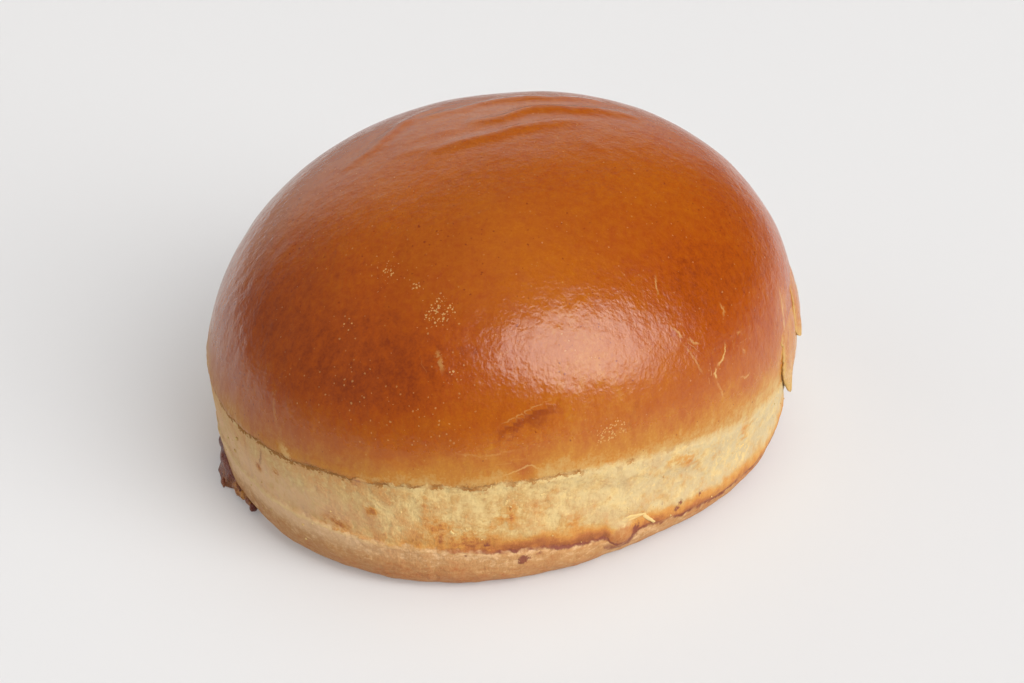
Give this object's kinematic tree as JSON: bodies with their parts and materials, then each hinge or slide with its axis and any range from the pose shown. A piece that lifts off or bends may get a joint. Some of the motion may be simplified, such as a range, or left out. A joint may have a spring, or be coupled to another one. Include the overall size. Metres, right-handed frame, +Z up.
{
  "type": "brioche bun",
  "caption": "Round uncut bun with a glazed domed crust over a pale belt and a flat base, for splitting and filling as a sandwich or burger roll.",
  "frame": {"origin": "middle of the bounding box, at the flat base", "axes": "+Z up from the base through the dome, +X along the bun's longer side, -Y the front that the picture shows"},
  "size_m": [0.1136, 0.1092, 0.0637],
  "materials": {
    "crust": "egg-washed crust, glossy red-brown on the dome, fading to a matte cream belt and a tan foot"
  },
  "bodies": {
    "root": {"brioche_bun": "crust"}
  },
  "joints": []
}
